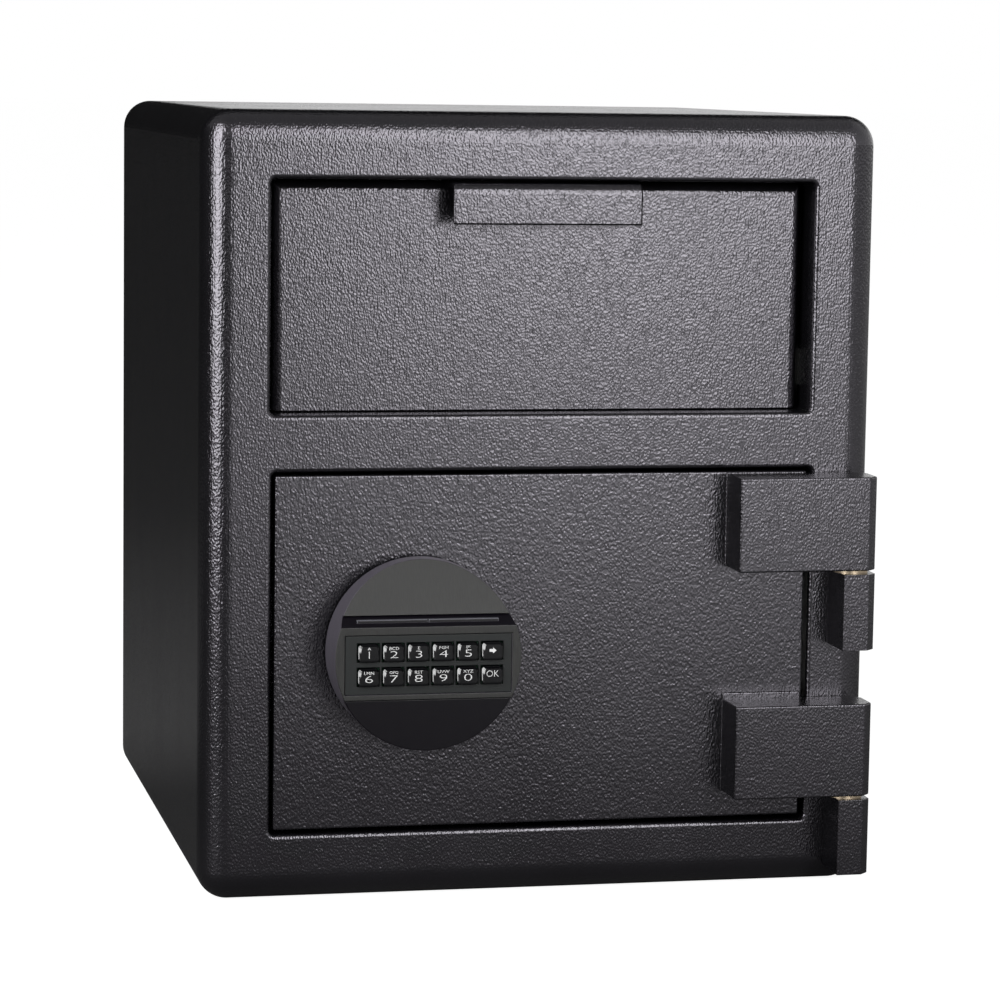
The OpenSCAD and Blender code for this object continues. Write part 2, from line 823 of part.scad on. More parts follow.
module lock_case() {
    x0 = dial_x + cam_r + 2;
    half = latch_half + seat_gap;
    color(zinc) from_front() difference() {
        slab([x0, door_back, dial_z - case_half],
             [x0 + case_len, door_back + case_depth, dial_z + case_half]);
        slab([x0 - 1, cam_back - cam_t - 2 - seat_gap, dial_z - half],
             [x0 + latch_reach, cam_back + 2 + seat_gap, dial_z + half]);
    }
}

module lock_latch() {
    x0 = dial_x + cam_r + 1;
    color(brass) from_front()
        slab([x0, cam_back - cam_t - 2, dial_z - latch_half],
             [x0 + 1 + latch_reach - seat_gap, cam_back + 2, dial_z + latch_half]);
}

// Keypad, drawn with its axis along Z and its base on the door

module on_dial() {
    from_front() translate([dial_x, face_y, dial_z]) rotate([90, 0, 0]) children();
}

module keypad_base() {
    color(dark_plastic) on_dial() difference() {
        cylinder(r = drum_r - 1.3, h = base_t);
        translate([0, 0, -1]) cylinder(r = spindle_r + fit_gap, h = base_t + 2);
    }
}

// Height of the sloping top and of the sloping chin, at v over the keypad's axis
function ramp_at(v) = rim_h + (ramp_h - rim_h) * (drum_r - v) / (drum_r - ramp_end);
function chin_at(v) = chin_h + (face_h - chin_step - chin_h) * (v + drum_r) / (chin_v + drum_r);

module drum_outline() {
    far = drum_r + 1;
    polygon([
        [-far, drum_back], [far, drum_back], [far, ramp_at(far)], [ramp_end, ramp_h],
        [ramp_end, groove_h], [brow_v, face_h], [chin_v, face_h],
        [chin_v, chin_at(chin_v)], [-far, chin_at(-far)]]);
}

module drum_hollow() {
    polygon([
        [-drum_r, web_top], [drum_r, web_top], [drum_r, ramp_at(drum_r) - drum_wall],
        [ramp_end - 1, groove_h - drum_wall], [brow_v - 2.5, ledge_back],
        [chin_v + 1, ledge_back], [chin_v + 1, chin_h - 2 * drum_wall],
        [-drum_r, chin_h - 2 * drum_wall]]);
}

// Frame of the light bar, on the steep step over the keys
module on_step() {
    run = ramp_end - brow_v;
    rise = face_h - groove_h;
    translate([0, (ramp_end + brow_v) / 2, (groove_h + face_h) / 2])
        rotate([-atan2(rise, run), 0, 0]) children();
}

module keypad_housing() {
    pocket = plate_h + 0.4;
    color(grey_plastic) on_dial() difference() {
        intersection() {
            translate([0, 0, drum_back]) cylinder(r = drum_r, h = face_h);
            along_x(-drum_r - 1, drum_r + 1) drum_outline();
        }
        intersection() {
            translate([0, 0, drum_back]) cylinder(r = drum_r - drum_wall, h = face_h);
            along_x(-drum_r, drum_r) drum_hollow();
        }
        translate([0, 0, drum_back - 1]) cylinder(r = spindle_r + fit_gap, h = drum_wall + 2);
        slab([-plate_w / 2 - 0.2, plate_v - pocket / 2, plate_back],
             [plate_w / 2 + 0.2, plate_v + pocket / 2, face_h + 1]);
        slab([key_shift - window_w / 2, plate_v + 0.2 - window_h / 2, ledge_back - 1],
             [key_shift + window_w / 2, plate_v + 0.2 + window_h / 2, face_h + 1]);
        slab([-drum_r, -drum_r - 2, chin_h - drum_wall - 0.1], [drum_r, chin_v, face_h + 1]);
        on_step() slab([-light_w / 2 - 0.1, -1.2, -1.3], [light_w / 2 + 0.1, 1.2, 3]);
    }
}

module battery_cover() {
    far = drum_r + 1;
    z0 = chin_h - drum_wall;
    color(dark_plastic) on_dial() intersection() {
        translate([0, 0, z0]) cylinder(r = drum_r, h = face_h);
        along_x(-far, far) polygon([
            [-far, z0], [chin_v - 0.15, z0], [chin_v - 0.15, chin_at(chin_v)], [-far, chin_at(-far)]]);
    }
}

module light_bar() {
    color([0.45, 0.46, 0.5]) on_dial() on_step()
        slab([-light_w / 2, -1.1, -1.2], [light_w / 2, 1.1, 0.2]);
}

function key_u(col) = key_shift + (col - (key_count_x - 1) / 2) * key_pitch_x;
function key_v(row) = plate_v + 0.2 + (row == 0 ? 0.5 : -0.5) * key_pitch_y;

module key_plate() {
    color(dark_plastic) on_dial() difference() {
        slab([-plate_w / 2, plate_v - plate_h / 2, plate_back],
             [plate_w / 2, plate_v + plate_h / 2, plate_front]);
        for (col = [0 : key_count_x - 1], row = [0, 1])
            translate([key_u(col), key_v(row), plate_back - 1])
                slab([-key_w / 2 - key_gap, -key_h / 2 - key_gap, 0],
                     [key_w / 2 + key_gap, key_h / 2 + key_gap, plate_t + 2]);
    }
}

module key_board() {
    half_w = window_w / 2 + board_lap;
    half_h = window_h / 2 + board_lap;
    color(board_green) on_dial() translate([key_shift, plate_v + 0.2, ledge_back])
        slab([-half_w, -half_h, -board_t], [half_w, half_h, 0]);
}

// A key has a cap and a flange that holds it behind the plate
module key(col, row) {
    flange_top = plate_back - 0.2;
    flange_t = plate_back - 0.4 - ledge_back - key_travel;
    color(dark_plastic) on_dial() translate([key_u(col), key_v(row), 0]) {
        slab([-key_w / 2, -key_h / 2, flange_top], [key_w / 2, key_h / 2, plate_front + key_proud]);
        slab([-key_w / 2 - key_flange, -key_h / 2 - key_flange, flange_top - flange_t],
             [key_w / 2 + key_flange, key_h / 2 + key_flange, flange_top]);
    }
}

module spindle() {
    color(steel) on_dial()
        translate([0, 0, -carriage_y]) cylinder(r = spindle_r, h = carriage_y + web_top + 4);
}

// Boltwork

function cam_rad(t) = cam_start_r + bolt_throw * t / dial_turn;
function cam_pt(t, w) = let(
    slope = bolt_throw / dial_turn * 180 / PI,
    lean = atan2(slope, cam_rad(t)),
    a = 180 - t) [
        cam_rad(t) * cos(a) + w * cos(a + lean),
        cam_rad(t) * sin(a) + w * sin(a + lean)];

// The slot runs outward at a steady rate, so the bolts move evenly with the turn
module cam_outline() {
    w = cam_slot_r + slide_gap;
    steps = 24;
    out = [for (i = [0 : steps]) dial_turn * i / steps];
    back = [for (i = [steps : -1 : 0]) dial_turn * i / steps];
    difference() {
        circle(r = cam_r);
        polygon(concat([for (t = out) cam_pt(t, w)], [for (t = back) cam_pt(t, -w)]));
        for (t = [0, dial_turn]) translate(cam_pt(t, 0)) circle(r = w);
        rotate(-dial_turn) translate([cam_r - cam_notch_d, -cam_notch_w / 2])
            square([cam_notch_d + 3, cam_notch_w]);
        circle(r = spindle_r + fit_gap);
    }
}

module drive_cam() {
    color(zinc) from_front() translate([dial_x, 0, dial_z])
        along_y(cam_back - cam_t, cam_back) cam_outline();
}

module bolt_carriage() {
    x_pin = dial_x - cam_start_r;
    color(zinc) from_front() difference() {
        union() {
            slab([flange_x, carriage_y, cover_z0 + 6],
                 [flange_x + carriage_t, cover_y - 1.5, cover_z1 - 6]);
            slab([flange_x, carriage_y, dial_z - tongue_half],
                 [x_pin + cam_slot_r + tongue_rim, carriage_y + carriage_t, dial_z + tongue_half]);
        }
        rod_y(cam_slot_r, carriage_y - 1, carriage_y + carriage_t + 1, x_pin, dial_z);
    }
}

module cam_pin() {
    color(steel) from_front()
        rod_y(cam_slot_r, cam_back - cam_t - 0.5, carriage_y + carriage_t, dial_x - cam_start_r, dial_z);
}

module bolt(i) {
    color(steel) from_front() rod_x(bolt_r, bolt_tip, flange_x, bolt_y, bolt_heights()[i]);
}

body_wrap();
front_frame();
back_panel();
drawer_deck();
antifish_comb();
bracket_left();
bracket_right();
channel_left();
channel_right();
knuckle_upper();
knuckle_lower();
hinge_pin_upper();
hinge_pin_lower();
washer_upper();
washer_lower();
drawer_front();
drawer_pull();
cheek_left();
cheek_right();
drawer_floor();
rail_left();
rail_right();
gate_plate();
gate_rod();
gate_lever();
door_plate();
hinge_block_upper();
hinge_block_lower();
dead_bar();
lock_chassis();
door_cover();
cover_screws();
lock_case();
lock_latch();
keypad_base();
keypad_housing();
key_plate();
key_board();
light_bar();
battery_cover();
spindle();
drive_cam();
bolt_carriage();
bolt(0);  // bolt_upper
bolt(1);  // bolt_lower
cam_pin();
key(0, 0);  // key_1
key(1, 0);  // key_2
key(2, 0);  // key_3
key(3, 0);  // key_4
key(4, 0);  // key_5
key(5, 0);  // key_next
key(0, 1);  // key_6
key(1, 1);  // key_7
key(2, 1);  // key_8
key(3, 1);  // key_9
key(4, 1);  // key_0
key(5, 1);  // key_ok
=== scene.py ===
"""Looks and stage of a deposit safe, built round its packed model. All lengths are metres."""

import math

import bmesh
import bpy
from bpy.props import FloatProperty, FloatVectorProperty, PointerProperty
from mathutils import Matrix, Vector


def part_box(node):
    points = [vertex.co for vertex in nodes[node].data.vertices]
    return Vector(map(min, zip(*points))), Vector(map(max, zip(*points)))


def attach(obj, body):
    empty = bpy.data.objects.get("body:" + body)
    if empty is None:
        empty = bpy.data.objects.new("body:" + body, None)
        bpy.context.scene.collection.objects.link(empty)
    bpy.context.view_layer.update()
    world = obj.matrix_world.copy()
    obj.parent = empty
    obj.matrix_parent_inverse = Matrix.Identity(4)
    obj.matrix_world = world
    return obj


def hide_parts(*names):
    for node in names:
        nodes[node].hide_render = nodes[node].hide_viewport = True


bl_info = {
    "name": "Deposit Safe Looks",
    "version": (1, 0, 0),
    "blender": (4, 5, 0),
    "location": "View3D > Sidebar > Safe",
    "description": "Coats, keypad details and studio for a deposit safe",
    "category": "Object",
}

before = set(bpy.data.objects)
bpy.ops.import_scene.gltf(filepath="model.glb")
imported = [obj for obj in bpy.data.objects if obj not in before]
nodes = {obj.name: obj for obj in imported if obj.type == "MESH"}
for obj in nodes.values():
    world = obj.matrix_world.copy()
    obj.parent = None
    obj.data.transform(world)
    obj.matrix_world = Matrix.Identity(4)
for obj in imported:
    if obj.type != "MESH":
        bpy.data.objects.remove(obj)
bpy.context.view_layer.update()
MM = 0.001
SHARP_ANGLE = 28.0  # degrees between two faces from which their edge is rounded
CREASE_ANGLE = 40.0  # degrees from which an edge stays a crease in the shading
SAME_PLACE = 1e-6  # metres
CAMERA_PLACE = (-0.407154, -1.908229, 0.419701)
CAMERA_ANGLES = (12.503, 6.919, -0.844)  # degrees of yaw to the right, pitch down and roll


# Settings


def color_setting(name, description, default):
    return FloatVectorProperty(
        name=name, description=description, subtype="COLOR", size=3, min=0.0, max=1.0, default=default
    )


def length_setting(name, description, default):
    return FloatProperty(
        name=name, description=description, subtype="DISTANCE", unit="LENGTH", min=0.0, precision=5, default=default
    )


class SafeCoatSettings(bpy.types.PropertyGroup):
    """Paint and metal of the safe."""

    coat_color: color_setting("Coat", "Colour of the hammered coat", (0.0030, 0.0029, 0.0035))
    inner_color: color_setting("Inside", "Colour of the smooth paint inside", (0.016, 0.016, 0.018))
    zinc_color: color_setting("Zinc", "Colour of the plated sheet", (0.52, 0.53, 0.52))
    steel_color: color_setting("Steel", "Colour of the turned steel", (0.62, 0.62, 0.61))
    brass_color: color_setting("Brass", "Colour of the washers", (0.66, 0.54, 0.39))
    grain_size: length_setting("Grain", "Width of one grain of the coat", 0.00125)
    grain_depth: length_setting("Grain depth", "Height of the coat's grain", 0.00016)
    edge_round: length_setting("Edge round", "How far the coat rounds a sheet's edge", 0.0008)
    block_round: length_setting("Block round", "Rounding of the hinge blocks and knuckles", 0.0013)
    bead: length_setting("Bead", "Thickness of the bead of coat behind a hinge block", 0.0011)
    pull_round: length_setting("Pull round", "Rounding of the pull's edges", 0.0009)


class SafeKeypadSettings(bpy.types.PropertyGroup):
    """Sizes and colours of the keypad's details."""

    shell_color: color_setting("Shell", "Colour of the keypad's shell", (0.0140, 0.0140, 0.0134))
    plate_color: color_setting("Key plate", "Colour of the plate round the keys", (0.0095, 0.0110, 0.0110))
    dark_color: color_setting("Dark parts", "Colour of the battery cover and the base", (0.0022, 0.0016, 0.0032))
    key_color: color_setting("Keys", "Colour of the keys", (0.0022, 0.0022, 0.0028))
    rim_color: color_setting("Rim", "Colour of the keypad's smooth rim", (0.066, 0.060, 0.074))
    print_color: color_setting("Print", "Colour of the marks on the keys", (0.58, 0.58, 0.58))
    key_corner: length_setting("Key corner", "Radius of the corners of a key", 0.0020)
    key_slope: length_setting("Key slope", "Width of the sloped flank round a key's face", 0.00115)
    key_crown: length_setting("Key crown", "Height of the sloped flank round a key's face", 0.0008)
    digit_height: length_setting("Digit height", "Height of the numbers", 0.0035)
    letter_height: length_setting("Letter height", "Height of the small letters", 0.0015)


class SafeStageSettings(bpy.types.PropertyGroup):
    """Floor, lamps and camera."""

    # Colour of the painted pools of light on the floor, which the coat mirrors
    painted_floor_light_color: color_setting("Floor", "Colour of the floor's bright fields", (0.86, 0.86, 0.86))
    lens: FloatProperty(
        name="Lens", description="Focal length of the camera", subtype="DISTANCE_CAMERA", default=126.906
    )
    front_power: FloatProperty(name="Front lamp", description="Power of the front lamp", unit="POWER", default=30.5)
    fill_power: FloatProperty(name="Fill lamp", description="Power of the high fill lamp", unit="POWER", default=12.0)
    side_power: FloatProperty(name="Side lamp", description="Power of the side lamp", unit="POWER", default=58.0)


# Shader maths


def feed(tree, socket, value):
    if isinstance(value, Wire):
        tree.links.new(value.socket, socket)
    elif hasattr(socket.default_value, "__len__") and not isinstance(value, (int, float)):
        socket.default_value = (*value, 1.0)[: len(socket.default_value)]
    else:
        socket.default_value = value


class Wire:
    """One output of a shader node that takes part in sums."""

    def __init__(self, tree, socket):
        self.tree = tree
        self.socket = socket

    def sum_of(self, operation, first, second):
        node = self.tree.nodes.new("ShaderNodeMath")
        node.operation = operation
        feed(self.tree, node.inputs[0], first)
        feed(self.tree, node.inputs[1], second)
        return Wire(self.tree, node.outputs[0])

    def __add__(self, other):
        return self.sum_of("ADD", self, other)

    def __radd__(self, other):
        return self.sum_of("ADD", other, self)

    def __sub__(self, other):
        return self.sum_of("SUBTRACT", self, other)

    def __rsub__(self, other):
        return self.sum_of("SUBTRACT", other, self)

    def __mul__(self, other):
        return self.sum_of("MULTIPLY", self, other)

    def __rmul__(self, other):
        return self.sum_of("MULTIPLY", other, self)


class Finish:
    """A material in the making, with its constant values on the shader's own sockets."""

    def __init__(self, name, color, **constants):
        self.material = bpy.data.materials.new(name)
        self.material.use_nodes = True
        self.tree = self.material.node_tree
        self.shader = self.tree.nodes["Principled BSDF"]
        self.shader.inputs["Base Color"].default_value = (*color, 1.0)
        self.material.diffuse_color = (*color, 1.0)
        for key, value in constants.items():
            self.set(key.replace("_", " ").title().replace("Ior", "IOR"), value)

    def set(self, socket, value):
        feed(self.tree, self.shader.inputs[socket], value)

    def node(self, kind, settings=None, inputs=None, out=0):
        made = self.tree.nodes.new("ShaderNode" + kind)
        for key, value in (settings or {}).items():
            setattr(made, key, value)
        for key, value in (inputs or {}).items():
            feed(self.tree, made.inputs[key], value)
        return Wire(self.tree, made.outputs[out])

    def place(self, scale=(1, 1, 1)):
        coords = self.node("TexCoord", out="Object")
        return self.node("Mapping", inputs={"Vector": coords, "Scale": scale})

    def noise(self, where, scale, detail=2.0, distortion=0.0, roughness=0.5):
        return self.node(
            "TexNoise",
            inputs={
                "Vector": where, "Scale": scale, "Detail": detail,
                "Distortion": distortion, "Roughness": roughness,
            },
            out="Fac",
        )

    def ramp(self, value, low, high):
        return self.node("MapRange", inputs={"Value": value, "From Min": low, "From Max": high})

    def mix(self, amount, first, second):
        return self.node("Mix", {"data_type": "RGBA"}, {0: amount, 6: first, 7: second}, out=2)

    def bump(self, height, distance):
        normal = self.node("Bump", inputs={"Height": height, "Distance": distance, "Strength": 1.0})
        self.set("Normal", normal)


def coat_settings():
    return bpy.context.scene.safe_coat


def keypad_settings():
    return bpy.context.scene.safe_keypad


def hammered_coat():
    s = coat_settings()
    made = Finish("hammered_coat", s.coat_color, roughness=0.24, specular_ior_level=1.0)
    made.set("Specular Tint", (0.95, 0.91, 1.0))
    grain = 1.0 / s.grain_size
    where = made.place((1.4, 1.4, 0.95))
    peel = made.noise(where, grain, 0.0, 0.2)
    swell = made.noise(where, grain * 0.3, 1.0)
    made.bump(peel + 0.4 * swell, s.grain_depth)
    cloud = made.noise(where, 22.0, 2.0)
    made.set("Roughness", 0.17 + 0.07 * cloud)
    light = tuple(c * 1.15 for c in s.coat_color)
    dark = tuple(c * 0.85 for c in s.coat_color)
    made.set("Base Color", made.mix(made.ramp(cloud, 0.3, 0.7), dark, light))
    return made.material


def painted_shade_edge():
    s = coat_settings()
    # The coat's colour with almost no reflection, as painted shade on the pull's lower and right edges
    made = Finish("painted_shade_edge", s.coat_color, roughness=0.45, specular_ior_level=0.04)
    made.set("Roughness", 0.40 + 0.12 * made.noise(made.place(), 300.0))
    return made.material


def smooth_paint():
    s = coat_settings()
    made = Finish("smooth_paint", s.inner_color, roughness=0.45)
    where = made.place()
    peel = made.noise(where, 700.0, 2.0)
    made.bump(peel, 0.00008)
    made.set("Roughness", 0.40 + 0.12 * made.noise(where, 30.0))
    return made.material


def plated_sheet():
    s = coat_settings()
    made = Finish("plated_sheet", s.zinc_color, metallic=1.0, roughness=0.42)
    where = made.place()
    flakes = made.node("TexVoronoi", {"feature": "F1"}, {"Vector": where, "Scale": 120.0}, out="Distance")
    stain = made.noise(where, 18.0, 4.0)
    tint = made.ramp(stain + 0.3 * flakes, 0.35, 0.85)
    warm = tuple(c * f for c, f in zip(s.zinc_color, (0.86, 0.84, 0.78)))
    made.set("Base Color", made.mix(tint, warm, s.zinc_color))
    made.set("Roughness", 0.34 + 0.20 * stain)
    made.bump(made.noise(where, 900.0, 1.0), 0.00004)
    return made.material


def turned_metal(name, color, roughness):
    made = Finish(name, color, metallic=1.0, roughness=roughness)
    streaks = made.noise(made.place((40.0, 900.0, 900.0)), 1.0, 2.0)
    wear = made.noise(made.place(), 90.0, 3.0)
    made.set("Roughness", roughness - 0.06 + 0.16 * wear)
    dull = tuple(c * 0.82 for c in color)
    made.set("Base Color", made.mix(made.ramp(wear, 0.35, 0.7), dull, color))
    made.bump(streaks, 0.00002)
    return made.material


def turned_steel():
    return turned_metal("turned_steel", coat_settings().steel_color, 0.28)


def turned_brass():
    return turned_metal("turned_brass", coat_settings().brass_color, 0.4)


def shell_plastic():
    s = keypad_settings()
    made = Finish("shell_plastic", s.shell_color, roughness=0.42, specular_ior_level=0.38)
    streaks = made.noise(made.place((2600.0, 400.0, 160.0)), 1.0, 2.0)
    spark = made.noise(made.place(), 2600.0, 1.0)
    bright = tuple(c * 1.35 for c in s.shell_color)
    dim = tuple(c * 0.78 for c in s.shell_color)
    made.set("Base Color", made.mix(made.ramp(streaks, 0.3, 0.7), dim, bright))
    made.set("Roughness", 0.38 + 0.12 * streaks)
    made.bump(spark, 0.00003)
    return made.material


def fine_plastic(name, color, roughness):
    made = Finish(name, color, roughness=roughness, specular_ior_level=0.3)
    made.bump(made.noise(made.place(), 2200.0, 1.0), 0.00002)
    made.set("Roughness", roughness - 0.04 + 0.08 * made.noise(made.place(), 260.0, 2.0))
    return made.material


def key_plastic(name, level):
    s = keypad_settings()
    made = Finish(name, s.key_color, roughness=0.16, specular_ior_level=level)
    made.set("Roughness", 0.13 + 0.08 * made.noise(made.place(), 420.0, 2.0))
    made.bump(made.noise(made.place(), 900.0, 1.0), 0.00001)
    return made.material


def key_print():
    s = keypad_settings()
    made = Finish("key_print", s.print_color, roughness=0.5)
    worn = made.noise(made.place(), 1500.0, 2.0)
    grey = tuple(c * 0.88 for c in s.print_color)
    made.set("Base Color", made.mix(made.ramp(worn, 0.3, 0.6), grey, s.print_color))
    return made.material


def lens_with_painted_highlight():
    # Lighter lens colour for the light bar's rounded rim: partly the lens's own tone, partly a painted highlight
    # along its edges
    made = Finish("lens_with_painted_highlight", (0.10, 0.10, 0.115), roughness=0.22)
    made.set("Roughness", 0.18 + 0.1 * made.noise(made.place(), 700.0))
    made.bump(made.noise(made.place(), 1200.0), 0.00002)
    return made.material


def board_lacquer():
    made = Finish("board_lacquer", (0.02, 0.10, 0.05), roughness=0.3)
    lines = made.noise(made.place((1.0, 1.0, 0.15)), 900.0, 2.0)
    made.set("Base Color", made.mix(made.ramp(lines, 0.45, 0.55), (0.015, 0.08, 0.04), (0.03, 0.14, 0.07)))
    made.bump(lines, 0.00003)
    return made.material


# Meshes

PRINT = 1  # place of the print in the keys' materials


def slab(bm, low, high):
    """Adds a plain block between two corners."""
    low, high = Vector(low), Vector(high)
    made = bmesh.ops.create_cube(bm, size=1.0)["verts"]
    bmesh.ops.scale(bm, vec=high - low, verts=made)
    bmesh.ops.translate(bm, vec=(low + high) / 2, verts=made)


def sharp_edges(bm):
    limit = math.radians(SHARP_ANGLE)
    return [e for e in bm.edges if len(e.link_faces) == 2 and e.calc_face_angle(0.0) > limit]


def round_edges(bm, edges, width, segments, clamp=True):
    bmesh.ops.bevel(
        bm, geom=edges, offset=width, offset_type="OFFSET", segments=segments,
        profile=0.5, affect="EDGES", clamp_overlap=clamp, material=-1,
    )


def softened(node, width, segments=3, front_depth=None, clamp=True):
    """A merged copy of a solid's mesh with its edges rounded, or only those within a depth of its front."""
    bm = bmesh.new()
    bm.from_mesh(nodes[node].data)
    bmesh.ops.remove_doubles(bm, verts=bm.verts, dist=2e-6)
    bmesh.ops.dissolve_limit(
        bm, angle_limit=math.radians(0.4), verts=bm.verts, edges=bm.edges, use_dissolve_boundaries=False
    )
    edges = sharp_edges(bm)
    if front_depth:
        limit = min(v.co.y for v in bm.verts) + front_depth
        edges = [e for e in edges if max(v.co.y for v in e.verts) < limit]
    round_edges(bm, edges, width, segments, clamp)
    return bm


def make_piece(name, bm, body, materials, replaced=()):
    """Turns the bmesh into a piece that rides on a body."""
    for face in bm.faces:
        face.smooth = True
    for edge in bm.edges:
        edge.smooth = len(edge.link_faces) == 2 and edge.calc_face_angle(0.0) < math.radians(CREASE_ANGLE)
    mesh = bpy.data.meshes.new(name)
    bm.to_mesh(mesh)
    bm.free()
    for material in materials:
        mesh.materials.append(material)
    piece = bpy.data.objects.new(name, mesh)
    bpy.context.scene.collection.objects.link(piece)
    even = piece.modifiers.new("even_normals", "WEIGHTED_NORMAL")
    even.weight = 100
    even.keep_sharp = True
    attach(piece, body)
    if replaced:
        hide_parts(*replaced)


def dress(material, *names):
    """Gives packed solids their material."""
    for name in names:
        mesh = nodes[name].data
        mesh.materials.clear()
        mesh.materials.append(material)


def shared(name, maker):
    """The material of that name, made when it is first asked for."""
    return bpy.data.materials.get(name) or maker()


def add_letters(bm, words, height, width_share, centre, weight):
    """Adds flat lettering that faces the front, centred on a point. A negative weight thins its strokes."""
    curve = bpy.data.curves.new("letters", "FONT")
    curve.body = words
    curve.align_x = "CENTER"
    curve.align_y = "CENTER"
    curve.size = 1.0
    curve.offset = weight
    curve.resolution_u = 3
    holder = bpy.data.objects.new("letters", curve)
    bpy.context.scene.collection.objects.link(holder)
    bpy.context.view_layer.update()
    mesh = bpy.data.meshes.new_from_object(holder.evaluated_get(bpy.context.evaluated_depsgraph_get()))
    low = [min(v.co[i] for v in mesh.vertices) for i in range(2)]
    high = [max(v.co[i] for v in mesh.vertices) for i in range(2)]
    scale = height / (high[1] - low[1])
    middle = Vector(((low[0] + high[0]) / 2, (low[1] + high[1]) / 2, 0.0))
    turn = Matrix.Rotation(math.radians(90), 4, "X")
    stretch = Matrix.Diagonal((scale * width_share, scale, scale, 1.0))
    mesh.transform(Matrix.Translation(centre) @ turn @ stretch @ Matrix.Translation(-middle))
    for face in mesh.polygons:
        face.material_index = PRINT
    bm.from_mesh(mesh)
    bpy.data.objects.remove(holder)
    bpy.data.curves.remove(curve)
    bpy.data.meshes.remove(mesh)


def add_arrow(bm, centre, length):
    """Adds a flat arrow that points right."""
    x, y, z = centre
    tip, shaft, barb = length / 2, length * 0.20, length * 0.42
    outline = [(-tip, -shaft), (0.0, -shaft), (0.0, -barb), (tip, 0.0), (0.0, barb), (0.0, shaft), (-tip, shaft)]
    face = bm.faces.new([bm.verts.new((x + u, y, z + v)) for u, v in outline])
    face.material_index = PRINT


# Operators


class SAFE_OT_body(bpy.types.Operator):
    """Coat the body and its fixed inner plates"""

    bl_idname = "safe.body"
    bl_label = "Body"

    def execute(self, context):
        dress(shared("hammered_coat", hammered_coat), "body_wrap", "front_frame", "back_panel")
        dress(
            shared("smooth_paint", smooth_paint),
            "drawer_deck", "antifish_comb", "bracket_left", "bracket_right",
        )
        dress(shared("plated_sheet", plated_sheet), "channel_left", "channel_right")
        return {"FINISHED"}


class SAFE_OT_hinges(bpy.types.Operator):
    """Round and coat the hinge blocks and knuckles, and dress pins and washers"""

    bl_idname = "safe.hinges"
    bl_label = "Hinges"

    def execute(self, context):
        s = coat_settings()
        coat = shared("hammered_coat", hammered_coat)
        for node, body in (
            ("hinge_block_upper", "door"), ("hinge_block_lower", "door"),
            ("knuckle_upper", "root"), ("knuckle_lower", "root"),
        ):
            make_piece("soft_" + node, softened(node, s.block_round), body, [coat], [node])
        leaf_low, leaf_high = (Vector(corner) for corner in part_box("door_plate"))
        for node, rise in (("hinge_block_upper", 0.6 * MM), ("hinge_block_lower", 3.2 * MM)):
            low, high = (Vector(corner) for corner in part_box(node))
            bm = bmesh.new()
            slab(bm, (low.x - 0.9 * MM, leaf_low.y - s.bead, low.z),
                 (leaf_high.x - MM, leaf_low.y + 0.2 * MM, high.z + rise))
            round_edges(bm, list(bm.edges), s.bead * 0.7, 4)
            make_piece("bead_" + node, bm, "door", [coat])
        dress(shared("turned_steel", turned_steel), "hinge_pin_upper", "hinge_pin_lower")
        dress(shared("turned_brass", turned_brass), "washer_upper", "washer_lower")
        return {"FINISHED"}


class SAFE_OT_drawer(bpy.types.Operator):
    """Round and coat the drawer front and its pull, and dress the tray"""

    bl_idname = "safe.drawer"
    bl_label = "Drawer"

    def execute(self, context):
        s = coat_settings()
        coat = shared("hammered_coat", hammered_coat)
        make_piece("folded_front", softened("drawer_front", s.edge_round * 0.8), "drawer",
                   [coat], ["drawer_front"])
        bm = softened("drawer_pull", s.pull_round, 4, 5.0 * MM, False)
        bm.normal_update()
        # The rounding on the lower and right edges gets a coat that hardly reflects: painted shade that draws the
        # pull's dark outline
        for face in bm.faces:
            if face.normal.y < -0.05 and (face.normal.z < -0.12 or face.normal.x > 0.12):
                face.material_index = 1
        make_piece("bent_pull", bm, "drawer",
                   [coat, shared("painted_shade_edge", painted_shade_edge)], ["drawer_pull"])
        dress(
            shared("smooth_paint", smooth_paint),
            "cheek_left", "cheek_right", "drawer_floor", "gate_plate",
        )
        dress(shared("plated_sheet", plated_sheet), "rail_left", "rail_right", "gate_lever")
        dress(shared("turned_steel", turned_steel), "gate_rod")
        return {"FINISHED"}


class SAFE_OT_door(bpy.types.Operator):
    """Make the coated door leaf and dress its boltwork"""

    bl_idname = "safe.door"
    bl_label = "Door"

    def execute(self, context):
        s = coat_settings()
        coat = shared("hammered_coat", hammered_coat)
        bm = bmesh.new()
        slab(bm, *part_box("door_plate"))
        round_edges(bm, list(bm.edges), s.edge_round * 1.2, 4)
        make_piece("door_leaf", bm, "door", [coat], ["door_plate"])
        dress(
            shared("plated_sheet", plated_sheet),
            "dead_bar", "lock_chassis", "lock_case", "drive_cam", "bolt_carriage",
        )
        dress(shared("smooth_paint", smooth_paint), "door_cover")
        dress(
            shared("turned_steel", turned_steel),
            "cover_screws", "spindle", "bolt_upper", "bolt_lower", "cam_pin",
        )
        dress(shared("turned_brass", turned_brass), "lock_latch")
        return {"FINISHED"}


STEP_LOW, STEP_HIGH = 15.5, 21.5  # millimetres over the keypad's axis


